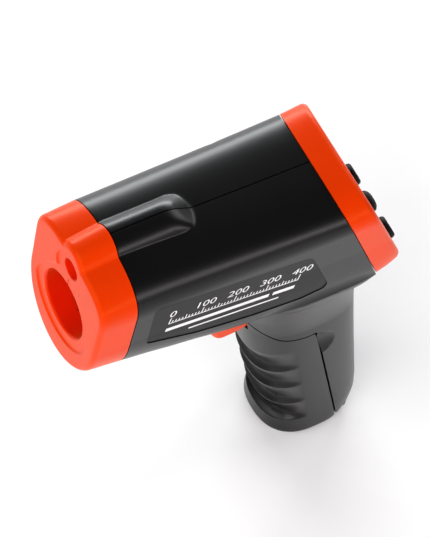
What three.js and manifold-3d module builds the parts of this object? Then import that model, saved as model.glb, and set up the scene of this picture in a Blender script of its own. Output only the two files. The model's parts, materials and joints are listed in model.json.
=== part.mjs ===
// Pistol-shaped infrared thermometer, as an assembly of separate pieces.
// Millimetres, +Z up, -X towards the nose, +Y to the right as the user holds it.
// The origin is the centre of the flat base of the handle.
import * as THREE from 'three';
import { mergeVertices } from 'three/addons/utils/BufferGeometryUtils.js';
import Module from 'manifold-3d';

const wasm = await Module();
wasm.setup();

// Driving dimensions. Places are given as (back, side, rise): the distance behind the
// nose's front face, the distance to the right, and the height over the bore's axis.
const NOSE_X = -91;
const AXIS_Z = 119.8;
const GAP = 0.3;
const HALF_GAP = GAP / 2;
const WALL = 2;
const TILT = THREE.MathUtils.degToRad(24.5);
const REAR_SHEAR = Math.tan(TILT);
const SEAM_SHEAR = 0.43;
const RIDGE = 24;
const SHOULDER = 13.7;
const REACH = 200;

const NOSE_LENGTH = 10.7;
const REAR_SEAM = 70.8;
const RIM = 79.1;
const BORE_R = 9.8;
const BORE_TUBE_R = 11.2;
const BORE_TUBE_END = 23;
const LASER_RISE = 18;
const LASER_HOLE_R = 3.1;
const PANEL_R = 13.7;
const PANEL_DEPTH = 0.5;

const BASE_RISE = -AXIS_Z;
const HANDLE_TOP = -14;
const HANDLE_HALF = 13.2;
const HANDLE_WALL = 1.6;
const HANDLE_RAKE = THREE.MathUtils.degToRad(14.4);

const DOOR_HINGE = { back: 96.5, rise: BASE_RISE + 2.1 };
const DOOR_HEEL_R = 2;
const TRIGGER_PIVOT = { back: 55, rise: -17.5 };
const TRIGGER_HALF = 5.5;
const BUTTON_SPACING = 9.2;
const BUTTON_R = 3.3;
const FLANGE_R = 4.3;
const BUTTON_DROP = -18.4;

// Cross-sections of the body, from the nose's face to the rear rim. lean is how far a
// section slants rearward for each millimetre down from the ridge.
const BODY = [
  { back: 0, lean: 0, half: 18, top: 24.1, bottom: -22, topPower: 2.9, bottomPower: 2 },
  { back: 10.7, lean: 0, half: 18.4, top: 26.2, bottom: -22.4, topPower: 2.65, bottomPower: 2.2 },
  { back: 19, lean: 0.02, half: 18.6, top: 25.9, bottom: -22.6, topPower: 2.6, bottomPower: 2.6 },
  { back: 30, lean: 0.1, half: 18.8, top: 25.4, bottom: -23, topPower: 2.6, bottomPower: 3.5 },
  { back: 42, lean: 0.2, half: 19, top: 24.9, bottom: -23.3, topPower: 2.6, bottomPower: 5.5 },
  { back: 56, lean: 0.31, half: 19.3, top: 24.3, bottom: -23.4, topPower: 2.6, bottomPower: 6 },
  { back: REAR_SEAM, lean: SEAM_SHEAR, half: 19.7, top: 23.8, bottom: -23.4, topPower: 2.6, bottomPower: 6 },
  { back: RIM, lean: REAR_SHEAR, half: 20.1, top: 24.7, bottom: -22, topPower: 2.6, bottomPower: 3 },
];

// Side view of the handle as (back, rise): finger grooves in front, a plain curve behind.
const sideCurve = (...points) => new THREE.SplineCurve(
  points.map(([back, rise]) => new THREE.Vector2(back, rise)));
const HANDLE_FRONT = sideCurve([48, -12], [52.5, -22], [58.3, -41], [62, -56], [64.3, -65.5], [67.5, -72.5],
  [68.3, -79], [71.5, -86.8], [72.5, -93.4], [75.8, -101], [76.4, -105.2], [77.8, -109.2], [77.3, -114],
  [77.8, -120.2]);
const HANDLE_BACK = sideCurve([90, -12], [90.8, -24], [92, -32], [94, -40], [99.9, -70], [106.4, -102],
  [107.5, -109], [107.1, -114.7], [104.6, -120.2]);
const HANDLE_ROOM = sideCurve([53.5, -6], [55, -24], [60.2, -41], [65.2, -58], [70.2, -73], [74, -87],
  [78, -101], [79.2, -109], [79.6, -120.2]);

// ---- Solid helpers ----
const place = (back, side, rise) => new THREE.Vector3(NOSE_X + back, side, AXIS_Z + rise);

function toSolid(geometry) {
  const bare = geometry.clone();
  bare.deleteAttribute('normal');
  bare.deleteAttribute('uv');
  const merged = mergeVertices(bare, 1e-4);
  const vertProperties = new Float32Array(merged.attributes.position.array);
  const triVerts = new Uint32Array(merged.index.array);
  const solid = new wasm.Manifold(new wasm.Mesh({ numProp: 3, vertProperties, triVerts }));
  return solid.volume() > 0 ? solid
    : new wasm.Manifold(new wasm.Mesh({ numProp: 3, vertProperties, triVerts: triVerts.reverse() }));
}

const combine = (first, ...others) => others.reduce((sum, other) => sum.add(other), first);
const carve = (first, ...others) => others.reduce((rest, other) => rest.subtract(other), first);

function toGeometry(solid) {
  const mesh = solid.getMesh();
  const geometry = new THREE.BufferGeometry();
  geometry.setAttribute('position', new THREE.BufferAttribute(new Float32Array(mesh.vertProperties), 3));
  geometry.setIndex(new THREE.BufferAttribute(new Uint32Array(mesh.triVerts), 1));
  const flat = geometry.toNonIndexed();
  flat.computeVertexNormals();
  return flat;
}

// A solid through a row of rings, all with the same number of points, with flat ends.
function loft(rings) {
  const count = rings[0].length;
  const points = rings.flat();
  const first = points.length;
  const middle = (ring) => ring.reduce((sum, p) => sum.add(p), new THREE.Vector3()).divideScalar(count);
  points.push(middle(rings[0]), middle(rings[rings.length - 1]));
  const faces = [];
  for (let r = 0; r + 1 < rings.length; r += 1) {
    for (let i = 0; i < count; i += 1) {
      const a = r * count + i;
      const b = r * count + ((i + 1) % count);
      faces.push(a, b, b + count, a, b + count, a + count);
    }
  }
  const last = (rings.length - 1) * count;
  for (let i = 0; i < count; i += 1) {
    const j = (i + 1) % count;
    faces.push(first, j, i, first + 1, last + i, last + j);
  }
  const geometry = new THREE.BufferGeometry().setFromPoints(points);
  geometry.setIndex(faces);
  return toSolid(geometry);
}

function box([backFrom, backTo], [sideFrom, sideTo], [riseFrom, riseTo]) {
  const geometry = new THREE.BoxGeometry(backTo - backFrom, sideTo - sideFrom, riseTo - riseFrom);
  const centre = place((backFrom + backTo) / 2, (sideFrom + sideTo) / 2, (riseFrom + riseTo) / 2);
  return toSolid(geometry.translate(centre.x, centre.y, centre.z));
}

// A round piece about an axis along X: profile points are (radius, back).
function turned(profile, side = 0, rise = 0, segments = 32) {
  const points = profile.map(([radius, back]) => new THREE.Vector2(radius, back));
  const geometry = new THREE.LatheGeometry(points, segments).rotateZ(-Math.PI / 2);
  const centre = place(0, side, rise);
  geometry.translate(centre.x, centre.y, centre.z);
  return toSolid(geometry);
}

// A cylinder across the body, along Y.
function across(back, rise, radius, sideFrom, sideTo, segments = 20) {
  const geometry = new THREE.CylinderGeometry(radius, radius, sideTo - sideFrom, segments);
  const centre = place(back, (sideFrom + sideTo) / 2, rise);
  return toSolid(geometry.translate(centre.x, centre.y, centre.z));
}

const rod = (radius, backFrom, backTo, side, rise, segments) => turned(
  [[0, backFrom], [radius, backFrom], [radius, backTo], [0, backTo]], side, rise, segments);

// A side-view outline (back, rise) made into a plate between two side positions.
function plate(outline, sideFrom, sideTo, bevel = 0) {
  const shape = new THREE.Shape(outline.map(([back, rise]) => new THREE.Vector2(NOSE_X + back, AXIS_Z + rise)));
  const geometry = new THREE.ExtrudeGeometry(shape, {
    depth: sideTo - sideFrom - 2 * bevel,
    bevelEnabled: bevel > 0,
    bevelThickness: bevel,
    bevelSize: bevel,
    bevelOffset: -bevel,
    bevelSegments: 2,
    curveSegments: 8,
  });
  geometry.rotateX(Math.PI / 2).translate(0, sideTo - bevel, 0);
  return toSolid(geometry);
}

function tube(points, radius, steps, sides = 6) {
  const path = new THREE.CatmullRomCurve3(points.map(([back, side, rise]) => place(back, side, rise)));
  const ring = new THREE.Shape();
  for (let i = 0; i < sides; i += 1) {
    const angle = (i / sides) * 2 * Math.PI;
    ring[i ? 'lineTo' : 'moveTo'](radius * Math.cos(angle), radius * Math.sin(angle));
  }
  return toSolid(new THREE.ExtrudeGeometry(ring, { steps, extrudePath: path, bevelEnabled: false }));
}

// ---- Frames that lean: the rear face, and the handle's own axis ----
const FACE_RISE = 2.5;
const faceCentre = place(RIM + REAR_SHEAR * (24.65 - FACE_RISE), 0, FACE_RISE);
const batteryCentre = place(84.6, 0, -73.2);

function leaning(geometry, centre, angle) {
  return toSolid(geometry.rotateY(angle).translate(centre.x, centre.y, centre.z));
}

// Boxes and discs on the rear face: out is along its normal, up is along the face.
function faceBox([outFrom, outTo], [sideFrom, sideTo], [upFrom, upTo]) {
  const geometry = new THREE.BoxGeometry(outTo - outFrom, sideTo - sideFrom, upTo - upFrom);
  geometry.translate((outFrom + outTo) / 2, (sideFrom + sideTo) / 2, (upFrom + upTo) / 2);
  return leaning(geometry, faceCentre, -TILT);
}

function faceDisc(profile, side, up, segments = 24) {
  const points = profile.map(([radius, out]) => new THREE.Vector2(radius, out));
  const geometry = new THREE.LatheGeometry(points, segments).rotateZ(-Math.PI / 2);
  geometry.translate(0, side, up);
  return leaning(geometry, faceCentre, -TILT);
}

function handleBox([backFrom, backTo], [sideFrom, sideTo], [upFrom, upTo]) {
  const geometry = new THREE.BoxGeometry(backTo - backFrom, sideTo - sideFrom, upTo - upFrom);
  geometry.translate((backFrom + backTo) / 2, (sideFrom + sideTo) / 2, (upFrom + upTo) / 2);
  return leaning(geometry, batteryCentre, -HANDLE_RAKE);
}

function handleDisc(radius, [upFrom, upTo], back, side, segments = 16) {
  const geometry = new THREE.CylinderGeometry(radius, radius, upTo - upFrom, segments);
  geometry.rotateX(Math.PI / 2).translate(back, side, (upFrom + upTo) / 2);
  return leaning(geometry, batteryCentre, -HANDLE_RAKE);
}

// ---- Body sections ----
function bodyAt(back) {
  const next = BODY.findIndex((section, i) => i > 0 && (section.back >= back || i === BODY.length - 1));
  const [low, high] = [BODY[next - 1], BODY[next]];
  const t = (back - low.back) / (high.back - low.back);
  return Object.fromEntries(Object.keys(low).map((key) => [key, low[key] + (high[key] - low[key]) * t]));
}

const QUARTER_STEPS = 7;

// One quarter of a superellipse, as unit (across, along) pairs from its side to its crown.
function quarter(power) {
  return Array.from({ length: QUARTER_STEPS + 1 }, (_, i) => {
    const angle = (i / QUARTER_STEPS) * (Math.PI / 2);
    const across01 = i === QUARTER_STEPS ? 0 : Math.cos(angle) ** (2 / power);
    return [across01, Math.sin(angle) ** (2 / power)];
  });
}

function bodyRing(back, inset = 0) {
  const section = bodyAt(back);
  const half = section.half - inset;
  const upper = quarter(section.topPower).map(([a, b]) => [
    a * half, SHOULDER + b * (section.top - inset - SHOULDER)]);
  const lower = quarter(section.bottomPower).map(
    ([a, b]) => [a * (half - 0.4), b * (section.bottom + inset)]);
  const outline = [
    ...upper,
    ...upper.slice(0, -1).reverse().map(([side, rise]) => [-side, rise]),
    ...lower.map(([side, rise]) => [-side, rise]),
    ...lower.slice(0, -1).reverse(),
  ];
  return outline.map(([side, rise]) => place(back + section.lean * (RIDGE - rise), side, rise));
}

const bodyLoft = (stations) => loft(stations.map(([back, inset]) => bodyRing(back, inset)));

// The long bump over the laser, on the nose and the front of the housing.
function bumpRing(back, inset) {
  const halfWidth = 6.4 - inset;
  const rises = [[0, 26.8], [10.7, 29.3], [28.5, 29.3], [35.5, 24.7]];
  const next = Math.max(1, rises.findIndex(([at]) => at >= back));
  const [[fromBack, fromRise], [toBack, toRise]] = [rises[next - 1], rises[next]];
  const top = fromRise + ((toRise - fromRise) * (back - fromBack)) / (toBack - fromBack) - inset;
  const depth = 7;
  return Array.from({ length: 20 }, (_, i) => {
    const angle = (i / 20) * 2 * Math.PI;
    return place(back, halfWidth * Math.sin(angle), top - depth + depth * Math.cos(angle));
  });
}

const bumpLoft = (stations) => loft(stations.map(([back, inset]) => bumpRing(back, inset)));

// ---- Handle sections ----
const HANDLE_POINTS = 32;

function curveAt(curve, rise) {
  const samples = curve.getPoints(120);
  const next = Math.max(1, samples.findIndex((p) => p.y <= rise));
  const [a, b] = [samples[next - 1], samples[next]];
  return a.x + ((b.x - a.x) * (rise - a.y)) / (b.y - a.y);
}

function handleRing(rise, inset, room) {
  const front = room ? curveAt(HANDLE_ROOM, rise) : curveAt(HANDLE_FRONT, rise) + inset;
  const back = curveAt(HANDLE_BACK, rise) - inset;
  const flare = THREE.MathUtils.clamp((rise + 50) / 28, 0, 1);
  const half = HANDLE_HALF + 4.8 * flare ** 1.4 - inset;
  const middle = (front + back) / 2;
  const frontPower = 2.4;
  const backPower = 3 + 2.5 * flare ** 3;
  return Array.from({ length: HANDLE_POINTS }, (_, i) => {
    const angle = (i / HANDLE_POINTS) * 2 * Math.PI;
    const power = 2 / (Math.cos(angle) < 0 ? frontPower : backPower);
    const alongX = Math.sign(Math.cos(angle)) * Math.abs(Math.cos(angle)) ** power;
    const alongY = Math.sign(Math.sin(angle)) * Math.abs(Math.sin(angle)) ** power;
    return place(middle + ((back - front) / 2) * alongX, half * alongY, rise);
  });
}

const handleLoft = (stations, room = false) => loft(
  stations.map(([rise, inset]) => handleRing(rise, inset, room)));

const HANDLE_FOOT = [[BASE_RISE, 1.6], [BASE_RISE + 0.4, 0.7], [BASE_RISE + 1.5, 0]];
const GRIP_RISES = [-112, -109.5, -107.4, -105.5, -103.6, -101.5, -99.5, -96, -92, -88.5, -85.5, -82, -78,
  -74.5, -71.5, -68, -64.5, -58, -50, -41, -34, -27, -20, HANDLE_TOP];
const PLAIN_RISES = [-113, -109, -104, -99, -85, -70, -50, -45, -40, -35, -30, -25, -20, HANDLE_TOP];

const handleOuter = (rises) => handleLoft([...HANDLE_FOOT, ...rises.map((rise) => [rise, 0])]);
const handleInner = () => handleLoft(
  [BASE_RISE + WALL, -110, -100, -86, -72, -58, -44, -34, -26, -10].map((rise) => [rise, HANDLE_WALL]), true);

// ---- The joint line between the battery door and the housing ----
const SEAM_SLOPE = 0.292;
const seamBack = (rise) => 80.1 + (-54.3 - rise) * SEAM_SLOPE;

// Everything in front of the joint line, grown by margin, as a plate across the handle.
function doorRegion(margin) {
  const low = BASE_RISE - 10;
  const outline = [
    [40, low],
    [seamBack(low) + margin, low],
    [seamBack(-55.6) + margin, -55.6],
    [79.2 + margin, -54.2 + margin],
    [76.4, -54.4 + margin],
    [69.5, -53 + margin],
    [63.6, -48 + margin],
    [59.2, -43.4 + margin],
    [54, -40.6 + margin],
    [40, -38 + margin],
  ];
  const above = plate(outline, -20, 20);
  const heelCut = box([DOOR_HINGE.back, 130], [-25, 25], [BASE_RISE - 12, DOOR_HINGE.rise]);
  const heel = across(DOOR_HINGE.back, DOOR_HINGE.rise, DOOR_HEEL_R + margin, -20, 20, 36);
  const swing = across(DOOR_HINGE.back, DOOR_HINGE.rise, DOOR_HEEL_R + 3.2 * margin, -20, 20, 36)
    .intersect(heelCut);
  return combine(carve(above, heelCut), heel, swing);
}

// ---- The battery's own box, and the room cut for it in the walls around ----
const BATTERY = { half: 12.25, thick: 7.75, tall: 46.5 };
const batteryRoom = () => handleBox([-BATTERY.half - 0.4, BATTERY.half + 0.4],
  [-BATTERY.thick - 0.4, BATTERY.thick + 0.4], [-BATTERY.tall / 2 - 0.4, BATTERY.tall / 2 + 6]);

// ---- Screw posts that join the two housings ----
const POST_R = 3.4;
const POSTS = [[19, -16], [52, 16.5], [76, -13.5], [84.5, -37.5]];

// ---- Housings ----
const HOUSING_STATIONS = [10.7, 15, 19, 24, 30, 36, 42, 50, 60, REAR_SEAM];

function housingShell() {
  const outer = combine(
    bodyLoft(HOUSING_STATIONS.map((back) => [back, 0])),
    bumpLoft([[10.7, 0], [19, 0], [28.5, 0], [31, 0], [33, 0], [35.4, 0]]),
    handleOuter(PLAIN_RISES));
  const innerStations = [[5, WALL], ...HOUSING_STATIONS.slice(1).map((back) => [back, WALL]), [76, WALL]];
  const inner = combine(
    bodyLoft(innerStations),
    bumpLoft([[5, 1.6], [19, 1.6], [27, 1.6], [30, 1.6]]),
    handleInner());
  const posts = POSTS.map(([back, rise]) => across(back, rise, POST_R, -REACH, REACH, 16));
  const bearings = [[TRIGGER_HALF + 0.8, REACH], [-REACH, -TRIGGER_HALF - 0.8]].map(
    (sides) => across(TRIGGER_PIVOT.back, TRIGGER_PIVOT.rise, 3, ...sides, 16));
  const shell = combine(
    carve(outer, inner, doorRegion(GAP)),
    combine(...posts, ...bearings).intersect(outer));
  const slot = box([45.6, 66], [-TRIGGER_HALF - 0.6, TRIGGER_HALF + 0.6], [-53, -14]);
  const pinBore = across(TRIGGER_PIVOT.back, TRIGGER_PIVOT.rise, 1.4, -9.3, 9.3);
  const thumbs = [-1, 1].map((sign) => toSolid(new THREE.SphereGeometry(5.2, 16, 10)
    .translate(...place(86.2, sign * (HANDLE_HALF + 3.8), -60.5).toArray())));
  const cut = carve(shell, slot, pinBore, ...thumbs, labelPocket(-1), labelPocket(1), batteryRoom());
  return combine(cut, hingeLug(-1), hingeLug(1));
}

// The ear that carries one end of the door's hinge pin, on the inside of the heel.
function hingeLug(sign) {
  const sides = sign < 0 ? [-10.6, -8] : [8, 10.6];
  const { back, rise } = DOOR_HINGE;
  const ear = across(back, rise, 1.9, ...sides, 16);
  const arm = box([back, 103.6], sides, [rise - 1.4, rise + 1.6]);
  const bore = across(back, rise, 1.15, ...sides.map((side) => side * 1.2 - 0.2 * sides[0]), 16);
  return carve(combine(ear, arm), bore);
}

function half(shell, sign) {
  const sides = sign < 0 ? [-40, -HALF_GAP] : [HALF_GAP, 40];
  let piece = shell.intersect(box([-20, 140], sides, [-140, 60]));
  POSTS.forEach(([back, rise]) => {
    piece = sign < 0
      ? carve(piece, across(back, rise, 1.25, -8.2, 5))
      : carve(piece, across(back, rise, 1.45, -5, 30), across(back, rise, 2.6, 7.6, 40));
  });
  return piece;
}

// ---- Side label: a shallow pocket in each housing and a thin plate lying in it ----
const LABEL_OUTLINE = [
  [15.9, -3.8], [15.7, 13.6], [17.2, 14.8], [62.2, 9.4], [64.4, 7.8], [72.4, -11.2], [71.6, -13.6],
  [64.2, -14.8], [48.8, -12.8], [32, -9.6], [17.2, -5.6],
];
const LABEL_DEPTH = 0.7;

function labelPrism(sign, shrink) {
  const centre = [45, -3];
  const outline = LABEL_OUTLINE.map(([back, rise]) => {
    const offset = new THREE.Vector2(back - centre[0], rise - centre[1]);
    offset.setLength(offset.length() - shrink);
    return [centre[0] + offset.x, centre[1] + offset.y];
  });
  return sign < 0 ? plate(outline, -40, -8) : plate(outline, 8, 40);
}

const LABEL_STATIONS = [12, 15, 19, 24, 30, 36, 42, 50, 60, REAR_SEAM];
const labelPocket = (sign) => carve(labelPrism(sign, 0), bodyLoft(
  LABEL_STATIONS.map((back) => [back, LABEL_DEPTH])));

function labelPlate(sign) {
  const slab = carve(
    bodyLoft(LABEL_STATIONS.map((back) => [back, 0.15])),
    bodyLoft([10.8, ...LABEL_STATIONS.slice(1, -1), 71.6].map((back) => [back, LABEL_DEPTH - 0.15])));
  return labelPrism(sign, GAP).intersect(slab);
}

// ---- Nose ----
function noseCap() {
  const end = NOSE_LENGTH - GAP;
  const outer = combine(
    bodyLoft([[0, 1.3], [0.4, 0.4], [1.3, 0], [5, 0], [end, 0]]),
    bumpLoft([[0, 1.3], [0.4, 0.4], [1.3, 0], [end, 0]]));
  const spigot = bodyLoft([[9, WALL + GAP], [15, WALL + GAP]]);
  const hollow = bodyLoft([[2.8, 2.2], [6.5, 2.2], [7.5, 3.8], [18, 3.8]]);
  const bumpHollow = bumpLoft([[4, 2.4], [18, 2.4]]);
  const boreTube = turned(
    [[0, 1.5], [BORE_TUBE_R, 1.5], [BORE_TUBE_R, BORE_TUBE_END], [0, BORE_TUBE_END]], 0, 0, 40);
  const laserSleeve = rod(4.7, 1.5, 10, 0, LASER_RISE, 24);
  const shell = combine(carve(combine(outer, spigot), hollow, bumpHollow), boreTube, laserSleeve);
  const panel = combine(
    rod(PANEL_R, -5, PANEL_DEPTH, 0, 0, 48),
    rod(4.9, -5, PANEL_DEPTH, 0, LASER_RISE, 24));
  const mouth = PANEL_DEPTH;
  const bore = turned([
    [0, -5], [BORE_R + 1.2, -5], [BORE_R + 1.2, mouth], [BORE_R + 0.5, mouth + 0.25],
    [BORE_R + 0.15, mouth + 0.6], [BORE_R, mouth + 1.2], [BORE_R, 40], [0, 40]], 0, 0, 40);
  const laserBeam = rod(LASER_HOLE_R, -5, 3.2, 0, LASER_RISE, 24);
  const laserSeat = rod(3.5, 3.2, 12, 0, LASER_RISE, 24);
  return carve(shell, panel, bore, laserBeam, laserSeat);
}

// ---- Rear bezel ----
const WINDOW = { half: 13, low: -7, high: 15.5 };

function rearBezel() {
  const outer = bodyLoft([[REAR_SEAM + GAP, 0], [75, 0], [RIM - 1.2, 0], [RIM - 0.35, 0.3], [RIM, 1]]);
  const skirt = bodyLoft([[67.5, WALL + GAP], [72, WALL + GAP]]);
  const inside = bodyLoft([[60, 3.6], [REAR_SEAM, 3.6], [72.2, 3.6], [72.7, 2.2], [76.5, 2.2]]);
  const recess = bodyLoft([[RIM - 1.3, 2.2], [85, 2.2]]);
  const window = faceBox([-20, 10], [-WINDOW.half, WINDOW.half], [WINDOW.low, WINDOW.high]);
  const through = [[0, -20], [BUTTON_R + 0.35, -20], [BUTTON_R + 0.35, 10], [0, 10]];
  const behind = [[0, -20], [FLANGE_R + 0.4, -20], [FLANGE_R + 0.4, -2.3], [0, -2.3]];
  const holes = [-1, 0, 1].flatMap((step) => [
    faceDisc(through, step * BUTTON_SPACING, BUTTON_DROP),
    faceDisc(behind, step * BUTTON_SPACING, BUTTON_DROP),
  ]);
  return carve(combine(outer, skirt), inside, recess, window, ...holes);
}

function displayWindow() {
  const inset = 0.35;
  const slab = faceBox([-2.4, -0.5], [-WINDOW.half + inset, WINDOW.half - inset],
    [WINDOW.low + inset, WINDOW.high - inset]);
  const crown = faceBox([-1, 0.2], [-WINDOW.half + 1.4, WINDOW.half - 1.4],
    [WINDOW.low + 1.4, WINDOW.high - 1.4]);
  return combine(slab, crown);
}

function button(step) {
  const domed = step === 0;
  const crown = domed
    ? [[0, 1.8], [1.4, 1.6], [2.5, 1.1], [BUTTON_R, 0.1]]
    : [[0, 1.3], [BUTTON_R - 0.7, 1.3], [BUTTON_R - 0.15, 1], [BUTTON_R, 0.5]];
  return faceDisc([...crown, [BUTTON_R, -2.7], [FLANGE_R, -2.7], [FLANGE_R, -3.4], [0, -3.4]],
    step * BUTTON_SPACING, BUTTON_DROP);
}

// ---- Display stack behind the bezel ----
const displayBoard = () => faceBox([-8.9, -7.4], [-12.6, 12.6], [-20.1, 16]);
const lcdPanel = () => faceBox([-4.8, -3.1], [-14, 14], [WINDOW.low - 2, WINDOW.high + 1]);
const lcdBacklight = () => faceBox([-7.1, -5.1], [-13, 13], [WINDOW.low, WINDOW.high - 3]);
const lcdContact = () => faceBox([-7.1, -5.1], [-12, 12], [WINDOW.high - 2, WINDOW.high]);

function keySwitch(step) {
  const side = step * BUTTON_SPACING;
  const body = faceBox([-7.1, -5.5], [side - 2.2, side + 2.2], [BUTTON_DROP - 2.2, BUTTON_DROP + 2.2]);
  const plunger = faceDisc([[0, -6], [1.4, -6], [1.4, -4.8], [0, -4.8]], side, BUTTON_DROP, 14);
  return combine(body, plunger);
}

// ---- Infrared optics ----
const lens = () => turned([[0, 23.3], [4, 23.45], [7.5, 23.8], [10.5, 24.3], [10.5, 25.9], [0, 25.9]]);

function lensBarrel() {
  const body = turned([
    [10.8, 23.4], [12.3, 23.4], [12.3, 29], [7.6, 41], [7.6, 47.6], [5, 47.6], [5, 41.5],
    [9.3, 26.2], [10.8, 26.2], [10.8, 23.4]], 0, 0, 36);
  const ears = carve(box([45.6, 47.6], [-11.5, 11.5], [-3.5, 3.5]), rod(5, 40, 50, 0, 0, 24));
  const holes = [-9.3, 9.3].map((side) => rod(1.2, 40, 60, side, 0, 12));
  return carve(combine(body, ears), ...holes);
}

function thermopile() {
  const can = turned([[0, 42.2], [3.9, 42.2], [4.1, 42.4], [4.1, 46.4], [4.6, 46.4], [4.6, 47], [0, 47]]);
  const legs = [[2, 0], [-2, 0], [0, 2], [0, -2]].map(([side, rise]) => rod(0.25, 46.8, 48, side, rise, 6));
  return combine(can, ...legs);
}

function sensorBoard() {
  const board = box([48.4, 50], [-11.8, 11.8], [-9, 9]);
  return carve(board, ...[-9.3, 9.3].map((side) => rod(1.2, 40, 60, side, 0, 12)));
}

const sensorScrew = (side) => turned(
  [[0, 51.6], [1.9, 51.6], [1.9, 50.3], [0.9, 50.3], [0.9, 46], [0, 46]], side, 0, 12);

// ---- Laser ----
const laserModule = () => turned([
  [0, 5], [1.9, 5], [1.9, 3.6], [3.2, 3.6], [3.2, 15.4], [2.6, 15.4], [2.6, 17], [0, 17]], 0, LASER_RISE, 24);
const laserLens = () => turned([[0, 3.9], [1, 4], [1.6, 4.3], [1.6, 4.7], [0, 4.7]], 0, LASER_RISE, 16);
const laserBoard = () => box([17.3, 25.5], [-2.8, 2.8], [LASER_RISE - 0.5, LASER_RISE + 0.5]);

// ---- Main board ----
const BOARD_RISE = 5;
const mainBoard = () => box([53.5, 71.5], [-13, 13], [BOARD_RISE, BOARD_RISE + 1.6]);
const mainChip = () => box([58, 67], [-4.5, 4.5], [BOARD_RISE + 1.9, BOARD_RISE + 3.3]);

function buzzer() {
  const points = [[0, 0], [4.5, 0], [4.5, 4.2], [1, 4.2], [1, 3.4], [0, 3.4]];
  const geometry = new THREE.LatheGeometry(points.map(([r, out]) => new THREE.Vector2(r, -out)), 24);
  const centre = place(62, -6, BOARD_RISE - GAP);
  geometry.rotateX(Math.PI / 2).translate(centre.x, centre.y, centre.z);
  return toSolid(geometry);
}

// ---- Trigger ----
function trigger() {
  const { back, rise } = TRIGGER_PIVOT;
  const front = sideCurve([49.8, -21.5], [48, -28], [47.6, -35], [48.6, -42], [50.6, -48.6])
    .getPoints(10).map((p) => [p.x, p.y]);
  const outline = [[back - 3, rise + 1.2], ...front, [52.2, -50.6], [58.6, -50.4], [63.2, -48.6], [64.8, -45],
    [64.6, -38], [63.2, -35.4], [61.2, -33.4], [61.2, -27], [59.4, -22], [back + 3, rise + 1.2],
    [back + 1.6, rise + 2.8], [back - 1.6, rise + 2.8]];
  const blade = plate(outline.reverse(), -TRIGGER_HALF, TRIGGER_HALF, 1);
  const bore = across(back, rise, 1.4, -20, 20);
  const springRoom = box([back - 8, back + 4.6], [-2.7, 2.7], [rise - 4.2, rise + 8]);
  return carve(blade, bore, springRoom);
}

function triggerSpring() {
  const { back, rise } = TRIGGER_PIVOT;
  const turns = 3;
  const steps = 8;
  const radius = 2.4;
  const coil = Array.from({ length: turns * steps + 1 }, (_, i) => {
    const angle = (i / steps) * 2 * Math.PI;
    const side = -1.6 + (3.2 * i) / (turns * steps);
    return [back + radius * Math.cos(angle), side, rise + radius * Math.sin(angle)];
  });
  const upper = [[back + radius, -1.6, rise + 8], [back + radius, -1.6, rise + 3.5]];
  const lower = [back + radius, 1.7, rise - 2.6];
  return tube([...upper, ...coil, lower], 0.35, 46, 5);
}

const SWITCH_RISE = TRIGGER_PIVOT.rise - 12.5;

function triggerSwitch() {
  const body = box([66.4, 73.4], [-5, 5], [SWITCH_RISE - 3, SWITCH_RISE + 3]);
  const bore = box([66, 69.4], [-1.5, 1.5], [SWITCH_RISE - 1.5, SWITCH_RISE + 1.5]);
  return carve(body, bore);
}

const switchPlunger = () => box([61.6, 67.4], [-1.1, 1.1], [SWITCH_RISE - 1.1, SWITCH_RISE + 1.1]);

// ---- Battery door, hinged at its foot ----
function batteryDoor() {
  const outer = handleOuter(GRIP_RISES);
  const shell = carve(outer, handleInner()).intersect(doorRegion(0));
  const { back, rise } = DOOR_HINGE;
  const knuckle = combine(
    across(back, rise, DOOR_HEEL_R, -7.4, 7.4, 24),
    box([back - 2.6, back + 1], [-7.4, 7.4], [BASE_RISE + 0.4, rise]).intersect(outer));
  const pinRoom = across(back, rise, 1.15, -11, 11, 16);
  const lugSlots = [[-11, -7.6], [7.6, 11]].map((sides) => box([back - 2.6, 110], sides, [-125, rise + 3]));
  const triggerRoom = box([40, 66], [-TRIGGER_HALF - 0.6, TRIGGER_HALF + 0.6], [-53, -30]);
  return carve(combine(shell, knuckle), pinRoom, ...lugSlots, triggerRoom, batteryRoom());
}

// ---- Battery and its connector, along the handle's axis ----
function battery() {
  const top = BATTERY.tall / 2;
  const body = handleBox([-BATTERY.half, BATTERY.half], [-BATTERY.thick, BATTERY.thick], [-top, top]);
  const posts = [[2.8, -6.35], [3.6, 6.35]].map(
    ([radius, back]) => handleDisc(radius, [top - 0.5, top + 2.6], back, 0));
  return combine(body, ...posts);
}

function batterySnap() {
  const low = BATTERY.tall / 2 + GAP;
  const block = handleBox([-12, 12], [-6, 6], [low, low + 4.4]);
  const room = [[3.1, -6.35], [3.9, 6.35]].map(
    ([radius, back]) => handleDisc(radius, [low - 1, low + 2.8], back, 0));
  return carve(block, ...room);
}

const screw = ([back, rise]) => {
  const points = [[0, -7], [1.05, -7], [1.05, 8], [2.2, 8], [2.2, 9.4], [1.6, 9.8], [0, 9.8]];
  const geometry = new THREE.LatheGeometry(points.map(([r, side]) => new THREE.Vector2(r, side)), 14);
  const centre = place(back, 0, rise);
  const body = toSolid(geometry.translate(centre.x, centre.y, centre.z));
  const drive = [box([back - 1.3, back + 1.3], [9, 12], [rise - 0.3, rise + 0.3]),
    box([back - 0.3, back + 0.3], [9, 12], [rise - 1.3, rise + 1.3])];
  return carve(body, ...drive);
};

// ---- Materials ----
const finish = (color, roughness, metalness = 0) => new THREE.MeshStandardMaterial(
  { color, roughness, metalness });
const orange = () => finish(0xf2491a, 0.38);
const blackPlastic = () => finish(0x1a1a1c, 0.5);
const rubber = () => finish(0x101011, 0.8);
const darkLabel = () => finish(0x141416, 0.45);
const clear = () => finish(0xc9d2d0, 0.08);
const board = () => finish(0x1f5c33, 0.55);
const steel = () => finish(0xb9bcc0, 0.3, 1);
const brass = () => finish(0xc9a24c, 0.3, 1);
const ivory = () => finish(0xe9e4d6, 0.5);

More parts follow.
